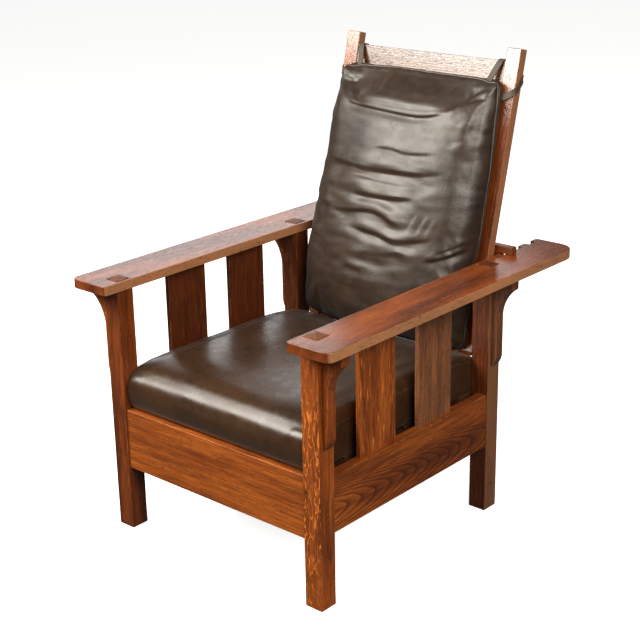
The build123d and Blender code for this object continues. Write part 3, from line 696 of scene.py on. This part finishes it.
def swell(cover, resting, pressure, cap):
    """Lets the filling push the cover out, held where it rests, and caps how far it goes."""
    moments = 20
    start = read_points(cover)
    group = cover.vertex_groups.new(name="resting")
    group.add([int(index) for index in np.flatnonzero(resting)], 1.0, "REPLACE")
    pick(cover)
    bpy.ops.object.modifier_add(type="CLOTH")
    cloth = cover.modifiers[-1]
    settings = cloth.settings
    settings.quality = 6
    settings.mass = 0.4
    settings.tension_stiffness = 22
    settings.compression_stiffness = 22
    settings.shear_stiffness = 8
    settings.bending_stiffness = 1.2
    settings.use_pressure = True
    settings.uniform_pressure_force = pressure
    settings.vertex_group_mass = "resting"
    settings.effector_weights.gravity = 0
    cloth.point_cache.frame_end = moments
    for moment in range(1, moments + 1):
        scene.frame_set(moment)
    bpy.ops.object.modifier_apply(modifier=cloth.name)
    scene.frame_set(1)
    cover.vertex_groups.clear()
    moved = read_points(cover) - start
    reach = np.linalg.norm(moved, axis=1, keepdims=True)
    write_points(cover, start + moved * cap * np.tanh(reach / cap) / np.maximum(reach, 1e-9))


def relax(cover, rounds):
    edit_all(cover)
    bpy.ops.mesh.vertices_smooth(factor=0.5, repeat=rounds)
    leave_edit()


def smooth_line(points):
    """Cuts the corners of a line of points, three times over."""
    line = np.array(points, dtype=float)
    for _ in range(3):
        first = 0.75 * line[:-1] + 0.25 * line[1:]
        second = 0.25 * line[:-1] + 0.75 * line[1:]
        middle = np.empty((2 * len(first), line.shape[1]))
        middle[0::2], middle[1::2] = first, second
        line = np.vstack((line[:1], middle, line[-1:]))
    return line


def fold_depth(places, line, depth, width, lip):
    """How far a fold moves each place: a roll above the line, a drop at it, and a slow rise
    below. It fades over the quarter of the line at each end."""
    line = smooth_line(line)
    lengths = np.linalg.norm(np.diff(line, axis=0), axis=1)
    total = lengths.sum()
    run = np.concatenate(([0], np.cumsum(lengths)))
    nearest = np.full(len(places), 1e9)
    signed = np.zeros(len(places))
    share = np.zeros(len(places))
    low = line.min(axis=0) - 5 * width
    high = line.max(axis=0) + 5 * width
    close = np.all((places > low) & (places < high), axis=1)
    local = places[close]
    best, side, along = nearest[close], signed[close], share[close]
    for index in range(len(line) - 1):
        step = line[index + 1] - line[index]
        away = local - line[index]
        part = np.clip((away @ step) / (step @ step), 0, 1)
        gap = away - part[:, None] * step
        distance = np.linalg.norm(gap, axis=1)
        turn = np.where(step[0] * away[:, 1] - step[1] * away[:, 0] > 0, -1.0, 1.0)
        nearer = distance < best
        best = np.where(nearer, distance, best)
        side = np.where(nearer, turn * distance, side)
        along = np.where(nearer, (run[index] + part * lengths[index]) / total, along)
    fade = ease(np.minimum(along, 1 - along), 0, 0.25)
    roll = lip * bell(side, -1.3 * width, 1.3 * width)
    drop = depth * ease(side, -0.6 * width, 0.4 * width)
    drop = drop * bell(np.maximum(side - 0.3 * width, 0), 0, 2.0 * width)
    moved = np.zeros(len(places))
    moved[close] = fade * (roll - drop)
    return moved


def all_folds(places, folds, depth_share=1.0, width_share=1.0, lip_share=1.0):
    """How far a table of folds moves each place. The table is in millimetres."""
    moved = np.zeros(len(places))
    for line, depth, width, lip in folds:
        moved += fold_depth(
            places,
            np.array(line) / 1000,
            depth_share * depth / 1000,
            width_share * width / 1000,
            lip_share * lip / 1000,
        )
    return moved


def rolling(points, size, height, seed):
    """Slow unevenness, as leather has over its filling."""
    return np.array(
        [
            height * noise.noise(Vector((x / size + seed, y / size, z / size)))
            for x, y, z in points
        ]
    )


def new_curve(name, radius, resolution):
    curve = bpy.data.curves.new(name, "CURVE")
    curve.dimensions = "3D"
    curve.bevel_depth = radius
    curve.bevel_resolution = curve.resolution_u = resolution
    return curve


def mesh_of(curve):
    holder = bpy.data.objects.new(curve.name, curve)
    scene.collection.objects.link(holder)
    pick(holder)
    bpy.ops.object.convert(target="MESH")
    return bpy.context.view_layer.objects.active


def cord_ring(name, points, radius):
    """A round cord along a closed line of points, as a mesh of its own."""
    path = new_curve(name, radius, 3)
    path.use_fill_caps = False
    spline = path.splines.new("NURBS")
    spline.points.add(len(points) - 1)
    for point, place in zip(spline.points, points):
        point.co = (*place, 1)
    spline.use_cyclic_u = True
    spline.order_u = 3
    spline.use_endpoint_u = False
    return mesh_of(path)


def stitch_row(name, spots, radius=0.00035, length=0.0042):
    """A row of stitches: each spot is a place, the way the seam runs and the way it faces."""
    thread = new_curve(name, radius, 1)
    thread.use_fill_caps = True
    for place, way, facing in spots:
        spline = thread.splines.new("POLY")
        spline.points.add(3)
        for point, (run, rise) in zip(
            spline.points, ((-0.5, -0.6), (-0.32, 0.6), (0.32, 0.6), (0.5, -0.6))
        ):
            spot = place + way * (run * length) + facing * (rise * radius)
            point.co = (*spot, 1)
    return mesh_of(thread)


def dress(piece, material, body):
    piece.data.materials.clear()
    piece.data.materials.append(material)
    for polygon in piece.data.polygons:
        polygon.use_smooth = True
    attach(piece, body)


def surface_of(piece):
    """A piece's surface, to find places on it with rays."""
    mesh = piece.data
    return BVHTree.FromPolygons(
        [vertex.co.copy() for vertex in mesh.vertices],
        [tuple(polygon.vertices) for polygon in mesh.polygons],
    )


# Folds of the seat's top in millimetres: line across and along it, depth, width and lip
SEAT_FOLDS = [
    ([(-20, -45), (4, -52), (34, -46)], 1.2, 4, 0.8),
    ([(-5, 10), (22, 2), (52, 8)], 0.7, 6, 0.5),
]


# The room that the seat cushion has between the posts, the front rail and the back, in metres
SEAT_HALF_WIDTH = 0.2712
SEAT_FRONT, SEAT_REAR = -0.4075, 0.2045
ABOVE_DECK = 0.2961
RAIL_INSIDE, ABOVE_RAIL = -0.3785, 0.3026


def seam_height(y):
    """The height of the seat's side seam, which drops towards the rear."""
    return 0.378 - 0.012 * ease(y, 0.12, 0.2)


def make_seat_cushion(leather, thread):
    cover = cover_of("seat_cushion", "seat_cushion_cover", 0.006, 3)
    points = read_points(cover)
    swell(cover, points[:, 2] < 0.2995, 2.0, 0.003)
    relax(cover, 3)
    # The filling presses the sides against the posts, and the underside on the deck and rail
    points = read_points(cover)
    normals = read_normals(cover)
    points[:, 0] += np.sign(points[:, 0]) * 0.010 * ease(np.abs(points[:, 0]), 0.232, 0.258)
    raised = ease(np.abs(points[:, 0]), 0.05, 0.24) * ease(points[:, 1], -0.375, -0.31)
    points[:, 2] += 0.0045 * ease(normals[:, 2], 0.1, 0.5) * raised
    points[:, 2] -= 0.005 * ease(-normals[:, 2], 0.2, 0.6)
    points[:, 1] -= 0.0035 * ease(-points[:, 1], 0.380, 0.396)
    points[:, 2] -= 0.0020 * ease(-points[:, 1], 0.366, 0.384) * ease(normals[:, 2], 0.1, 0.5)
    write_points(cover, points)
    relax(cover, 2)
    apply_modifier(cover, "SUBSURF", levels=1, render_levels=1)
    points = read_points(cover)
    normals = read_normals(cover)
    top = ease(normals[:, 2], 0.2, 0.7)
    move = rolling(points, 0.11, 0.0012, 3.0) * top + rolling(points, 0.045, 0.0002, 9.0) * top
    move += top * all_folds(points[:, [0, 1]], SEAT_FOLDS)
    # The seam between the top and the side panels: the top laps over the side
    side = ease(np.abs(normals[:, 0]), 0.45, 0.8)
    away = points[:, 2] - seam_height(points[:, 1])
    move += side * (0.0011 * bell(away, 0.0036, 0.0026) - 0.0016 * bell(away, 0, 0.0016))
    points = points + normals * move[:, None]
    points[:, 0] = np.clip(points[:, 0], -SEAT_HALF_WIDTH, SEAT_HALF_WIDTH)
    points[:, 1] = np.clip(points[:, 1], SEAT_FRONT, SEAT_REAR)
    points[:, 2] = np.maximum(points[:, 2], ABOVE_DECK)
    over_rail = points[:, 1] < RAIL_INSIDE
    points[over_rail, 2] = np.maximum(points[over_rail, 2], ABOVE_RAIL)
    # The back cushion presses on the rear of the top
    places = back_places(points)
    limit = 0.0086 + 0.5 * np.maximum(places[:, 2] - 0.125, 0)
    places[:, 1] = np.where(points[:, 2] > 0.37, np.minimum(places[:, 1], limit), places[:, 1])
    write_points(cover, chair_places(places))
    dress(cover, leather, "root")
    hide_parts("seat_cushion")

    # Stitches along the lap of each side
    above_seam = 0.0046
    surface = surface_of(cover)
    for side_name, way in (("left", -1), ("right", 1)):
        spots = []
        for y in np.arange(-0.350, 0.190, 0.0062):
            outside = Vector((way * 0.4, y, seam_height(y) + above_seam))
            hit, facing, _, _ = surface.ray_cast(outside, Vector((-way, 0, 0)))
            if hit:
                spots.append((hit, Vector((0, 1, 0)), facing))
        row = stitch_row(f"seat_{side_name}_stitches", spots)
        dress(row, thread, "root")


# Folds of the back cushion in millimetres: line across and up the back, depth, width and lip
BACK_FOLDS = [
    (
        [
            (-205, 556), (-150, 546), (-94, 541), (-18, 537),
            (42, 534), (88, 537), (130, 550), (160, 556),
        ],
        4.6, 6, 2.4,
    ),
    (
        [(-205, 572), (-139, 562), (-94, 559), (-19, 556), (56, 554), (110, 558), (150, 566)],
        2.2, 6, 3,
    ),
    (
        [
            (-226, 418), (-155, 402), (-99, 399), (-30, 395),
            (38, 399), (85, 400), (133, 406), (175, 420),
        ],
        6.2, 10, 4,
    ),
    ([(-150, 384), (-60, 376), (8, 372), (70, 370), (130, 378)], -2.2, 8, 0),
    ([(-50, 449), (16, 453), (40, 447), (73, 446), (140, 457)], 2, 6, 1.2),
    ([(216, 624), (192, 610), (166, 594)], 3.6, 5.5, 3),
    ([(216, 598), (184, 584), (146, 574)], 3.6, 5, 2.4),
    ([(-226, 622), (-196, 607), (-156, 610)], 2.6, 5, 1.8),
    ([(-224, 606), (-196, 600), (-160, 602)], 2.2, 5, 1.6),
    ([(228, 575), (206, 560), (186, 542), (160, 522)], 1.4, 9, 1.4),
    ([(232, 520), (208, 505), (184, 490), (150, 474)], 1.6, 10, 1.6),
    ([(236, 462), (212, 448), (186, 436)], 1.2, 9, 1),
    ([(-238, 520), (-214, 500), (-186, 492)], 1.6, 9, 1.2),
    ([(-83, 645), (-80, 610), (-73, 576)], 1.4, 9, 1),
    ([(18, 645), (25, 614), (25, 580)], 1.4, 9, 1),
    ([(75, 645), (77, 614), (73, 580)], 1.4, 8, 1),
    ([(123, 645), (123, 613), (115, 582)], 1.6, 8, 1),
    ([(-80, 338), (-15, 335), (25, 337), (62, 339), (110, 346)], 5.6, 8, 4),
    ([(-150, 286), (-75, 292), (-22, 300), (7, 300), (36, 292), (53, 282), (90, 274)], 6, 8, 4.4),
    (
        [(-70, 258), (-11, 252), (22, 250), (46, 244), (68, 239), (109, 245), (175, 264)],
        5.6, 7.5, 4,
    ),
    ([(-40, 200), (8, 201), (61, 205), (120, 220)], 3.4, 12, 2),
    ([(-64, 163), (-31, 158), (-6, 157)], 1.8, 4.5, 1.2),
    ([(150, 207), (193, 221), (213, 234), (240, 256)], 4.8, 5, 3.2),
    ([(172, 226), (205, 246), (236, 270)], 3, 5.5, 2.2),
    ([(-242, 330), (-193, 302), (-140, 290)], 3, 8, 2.2),
    ([(-240, 230), (-175, 213), (-120, 202)], 2.2, 10, 1.6),
    ([(119, 318), (109, 290), (98, 262)], 0.7, 4, 0.7),
    ([(143, 318), (134, 290), (124, 262)], 0.7, 4, 0.7),
    ([(163, 312), (153, 286), (142, 262)], 0.6, 4, 0.6),
    ([(-110, 120), (-30, 112), (60, 120)], 2.4, 11, 1.6),
]
# The back cushion's outline across and up the back, its rear face and its welt, in metres
CUSHION_HALF = 0.243
CUSHION_LOW, CUSHION_MIDDLE, CUSHION_HIGH = 0.0095, 0.328, 0.6465
CUSHION_CORNERS = (0.026, 0.046)
CUSHION_BACK = 0.0300
WELT_OUT = 0.0480
WELT_RADIUS = 0.0034


def back_places(points):
    """Each point's place across, up and out of the back, in metres."""
    away = points - np.array(HINGE)
    return np.column_stack(
        [away @ np.array(ACROSS), away @ np.array(UP_BACK), away @ np.array(OUT_BACK)]
    )


def chair_places(places):
    return np.array(HINGE) + places @ np.array([ACROSS, UP_BACK, OUT_BACK])


def round_corners(places, half, low, high, radii):
    """Draws the cushion's corners in to a round outline, by one radius below and one above."""
    middle = (low + high) / 2
    tall = (high - low) / 2
    spot = np.column_stack([places[:, 0], places[:, 1] - middle])
    radius = np.where(spot[:, 1] < 0, radii[0], radii[1])
    beyond = np.maximum(np.abs(spot) - np.array([half, tall]) + radius[:, None], 0)
    distance = np.linalg.norm(beyond, axis=1)
    excess = np.where(np.all(beyond > 0, axis=1), np.maximum(distance - radius, 0), 0)
    share = excess / np.maximum(distance, 1e-9)
    places = places.copy()
    places[:, 0] -= np.sign(spot[:, 0]) * beyond[:, 0] * share
    places[:, 1] -= np.sign(spot[:, 1]) * beyond[:, 1] * share
    return places


def make_back_cushion(leather):
    cover = cover_of("back_cushion", "back_cushion_cover", 0.006, 4)
    swell(cover, back_places(read_points(cover))[:, 2] < 0.0345, 4.0, 0.010)
    relax(cover, 2)
    apply_modifier(cover, "SUBSURF", levels=1, render_levels=1)
    places = back_places(read_points(cover))
    places = round_corners(places, CUSHION_HALF, CUSHION_LOW, CUSHION_HIGH, CUSHION_CORNERS)
    # The filling has settled: the right side is drawn in low down and near the top, the left side
    # at its lower end, and the top rolls back
    right = ease(places[:, 0], 0.10, 0.24)
    places[:, 0] -= 0.010 * right * bell(places[:, 1], 0.200, 0.038)
    places[:, 0] -= 0.010 * right * ease(places[:, 1], 0.42, 0.62)
    left = ease(-places[:, 0], 0.15, 0.24)
    places[:, 0] += 0.007 * left * (1 - ease(places[:, 1], 0.08, 0.18))
    out_share = ease(places[:, 2], 0.050, 0.100)
    places[:, 2] -= 0.022 * out_share * ease(places[:, 1], 0.545, 0.645)
    write_points(cover, chair_places(places))

    points = read_points(cover)
    normals = read_normals(cover)
    facing = normals @ np.array(OUT_BACK)
    front = ease(facing, -0.05, 0.45)
    move = front * (
        rolling(points, 0.10, 0.0034, 5.0)
        + rolling(points * np.array([0.6, 1, 1.5]), 0.032, 0.0010, 2.0)
    )
    # Small sideways wrinkles where the sitter leans
    leant = ease(places[:, 1], 0.12, 0.20) * ease(-places[:, 1], -0.47, -0.38)
    leant *= ease(-places[:, 0], -0.17, -0.11)
    move += front * leant * rolling(points * np.array([0.30, 1, 1]), 0.021, 0.0020, 7.0)
    move += front * all_folds(places[:, :2], BACK_FOLDS, 0.72, 1.25, 0.5)
    # Gathers along the welt, and the hollow that the welt sits in
    rim = bell(places[:, 2], 0.064, 0.018) * (1 - ease(facing, 0.75, 0.95))
    run = np.arctan2(places[:, 1] - CUSHION_MIDDLE, places[:, 0] * 1.3)
    pucker = np.array([noise.noise(Vector((angle * 21, 0.5, 0))) for angle in run])
    move += rim * pucker * 0.0018
    beside = 1 - ease(np.abs(facing), 0.6, 0.9)
    move -= 0.0026 * bell(places[:, 2], WELT_OUT, 0.0042) * beside
    points = points + normals * move[:, None]
    places = back_places(points)
    places[:, 2] = np.maximum(places[:, 2], CUSHION_BACK)
    places[:, 1] = np.maximum(places[:, 1], CUSHION_LOW - 0.0005)
    write_points(cover, chair_places(places))
    dress(cover, leather, "back")
    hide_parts("back_cushion")

    surface = surface_of(cover)
    ring = []
    steps = 200
    for step in range(steps):
        angle = 2 * math.pi * step / steps
        way = Vector((0.25 * math.cos(angle), 0.34 * math.sin(angle)))
        outside = (
            HINGE
            + ACROSS * way.x * 2
            + UP_BACK * (CUSHION_MIDDLE + way.y * 2)
            + OUT_BACK * WELT_OUT
        )
        inward = (ACROSS * -way.x + UP_BACK * -way.y).normalized()
        hit, _, _, _ = surface.ray_cast(outside, inward)
        if hit:
            ring.append(hit - inward * 0.0012)
    welt = cord_ring("back_cushion_welt", ring, WELT_RADIUS)
    dress(welt, leather, "back")


# A strap's half width and its thickness, in metres
STRAP_HALF = 0.0074
STRAP_THICKNESS = 0.0024
# The right strap's route in millimetres across, up and out of the back, with the way it is wide
STRAP_ROUTE = [
    ((190.5, 631, 49.0), (0.95, -0.20, 0)),
    ((193.0, 646, 42.5), (0.95, -0.24, 0)),
    ((198.5, 664, 37.0), (0.95, -0.26, 0)),
    ((203.5, 680, 32.8), (0.95, -0.24, 0)),
    ((206.5, 690, 29.4), (0.97, -0.10, 0)),
    ((208.0, 692.4, 24.0), (1, 0, 0)),
    ((208.5, 692.4, 15.0), (1, 0, 0)),
    ((209.0, 692.0, 6.5), (1, 0.08, 0)),
    ((211.5, 687.5, 2.9), (0.92, 0.38, 0)),
    ((219.0, 681.0, 2.7), (0.76, 0.65, 0)),
    ((232.0, 672.0, 2.7), (0.62, 0.78, 0)),
    ((246.0, 662.0, 2.7), (0.60, 0.80, 0)),
    ((254.5, 655.5, 2.9), (0.50, 0.78, 0.36)),
    ((257.8, 651.5, 6.2), (0.16, 0.62, 0.76)),
    ((258.0, 644.0, 12.0), (0, 0.62, 0.78)),
    ((258.0, 634.5, 19.0), (0, 0.66, 0.75)),
    ((257.8, 626.0, 26.0), (-0.12, 0.72, 0.68)),
    ((255.6, 620.5, 31.4), (-0.36, 0.84, 0.36)),
    ((248.0, 615.5, 33.0), (-0.44, 0.90, 0)),
    ((238.0, 610.5, 33.8), (-0.44, 0.90, 0)),
    ((226.0, 604.0, 35.5), (-0.44, 0.90, 0)),
]


def make_strap(side_name, side, leather, thread):
    """A flat strap: a strip extruded from place to place along its route, then given its
    thickness."""
    stations = []
    for (across, up, out), (wide_across, wide_up, wide_out) in STRAP_ROUTE:
        wide = ACROSS * wide_across * side + UP_BACK * wide_up + OUT_BACK * wide_out
        stations.append((on_back(across * side, up, out), wide.normalized() * STRAP_HALF))
    bpy.ops.object.select_all(action="DESELECT")
    centre, wide = stations[0]
    bpy.ops.mesh.primitive_plane_add(size=2 * STRAP_HALF, location=centre)
    strap = bpy.context.view_layer.objects.active
    strap.name = strap.data.name = f"{side_name}_cushion_strap"
    bpy.ops.object.transform_apply(location=True, rotation=True, scale=True)

    def pick_vertices(*wanted):
        bpy.ops.object.mode_set(mode="EDIT")
        bpy.ops.mesh.select_mode(type="VERT")
        bpy.ops.mesh.select_all(action="DESELECT")
        leave_edit()
        for index in wanted:
            strap.data.vertices[index].select = True
        places = [strap.data.vertices[index].co.copy() for index in wanted]
        bpy.ops.object.mode_set(mode="EDIT")
        return places

    def move_vertex(index, target):
        place = pick_vertices(index)[0]
        bpy.ops.transform.translate(value=target - place)

    # The strip starts as one edge of a plane, and each station adds the next edge
    pick_vertices(2, 3)
    bpy.ops.mesh.delete(type="VERT")
    move_vertex(0, centre - wide)
    move_vertex(1, centre + wide)
    for count, (centre, wide) in enumerate(stations[1:], start=1):
        pick_vertices(2 * count - 2, 2 * count - 1)
        bpy.ops.mesh.extrude_region_move(
            TRANSFORM_OT_translate={"value": centre - stations[count - 1][0]}
        )
        move_vertex(2 * count, centre - wide)
        move_vertex(2 * count + 1, centre + wide)
    bpy.ops.mesh.select_all(action="SELECT")
    bpy.ops.mesh.subdivide(number_cuts=1)
    leave_edit()
    apply_modifier(strap, "SUBSURF", levels=2, render_levels=2)
    apply_modifier(strap, "SOLIDIFY", thickness=STRAP_THICKNESS, offset=0.0)
    apply_modifier(strap, "BEVEL", width=0.0005, segments=2, limit_method="ANGLE")
    edit_all(strap)
    bpy.ops.mesh.normals_make_consistent(inside=False)
    leave_edit()
    dress(strap, leather, "back")
    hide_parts(f"{side_name}_strap")

    # Stitches along both edges
    from_edge, pitch = 0.0017, 0.0036
    spots = []
    line = smooth_line([(*place, *wide) for place, wide in stations])
    run = np.concatenate(([0], np.cumsum(np.linalg.norm(np.diff(line[:, :3], axis=0), axis=1))))
    for edge in (-1, 1):
        for distance in np.arange(0.010, run[-1] - 0.006, pitch):
            values = [np.interp(distance, run, line[:, index]) for index in range(6)]
            later = [np.interp(distance + 0.001, run, line[:, index]) for index in range(3)]
            wide = Vector(values[3:]).normalized()
            way = (Vector(later) - Vector(values[:3])).normalized()
            outward = way.cross(wide).normalized() * -side
            place = (
                Vector(values[:3])
                + wide * edge * (STRAP_HALF - from_edge)
                + outward * STRAP_THICKNESS / 2
            )
            spots.append((place, way, outward))
    row = stitch_row(f"{side_name}_strap_stitches", spots, radius=0.00028, length=0.0025)
    dress(row, thread, "back")


def lay_floor():
    bpy.ops.object.select_all(action="DESELECT")
    bpy.ops.mesh.primitive_plane_add(size=60)
    floor = bpy.context.view_layer.objects.active
    floor.name = "studio_floor"
    paint = Recipe("pale_floor")
    place = paint.add("TexCoord").outputs["Object"]
    cloud = paint.speckle(place, scale=0.6, detail=2)
    paint.feed(
        paint.shader.inputs["Base Color"],
        paint.ramp(cloud, [(0.3, grey(0.84)), (0.7, grey(0.88))]),
    )
    pale = paint.finish({"Roughness": 0.7, "Emission Color": grey(1), "Emission Strength": 0.84})
    floor.data.materials.append(pale)
    floor.visible_glossy = floor.visible_diffuse = False


aim_camera()
light_studio()
lay_floor()
dress_nodes()
seat_leather = hide_leather(
    "seat_leather_hide", tint(41, 24, 10), tint(57, 35, 16), 0.27, crease=0.06
)
back_leather = hide_leather(
    "back_leather_hide", tint(30, 18, 8), tint(47, 30, 15), 0.40, shine=0.62
)
strap_leather = hide_leather(
    "strap_leather_hide", tint(50, 40, 32), tint(82, 68, 56), 0.55, pebble=1300.0
)
waxed_thread = sewing_thread()
make_seat_cushion(seat_leather, waxed_thread)
make_back_cushion(back_leather)
make_strap("left", -1, strap_leather, waxed_thread)
make_strap("right", 1, strap_leather, waxed_thread)
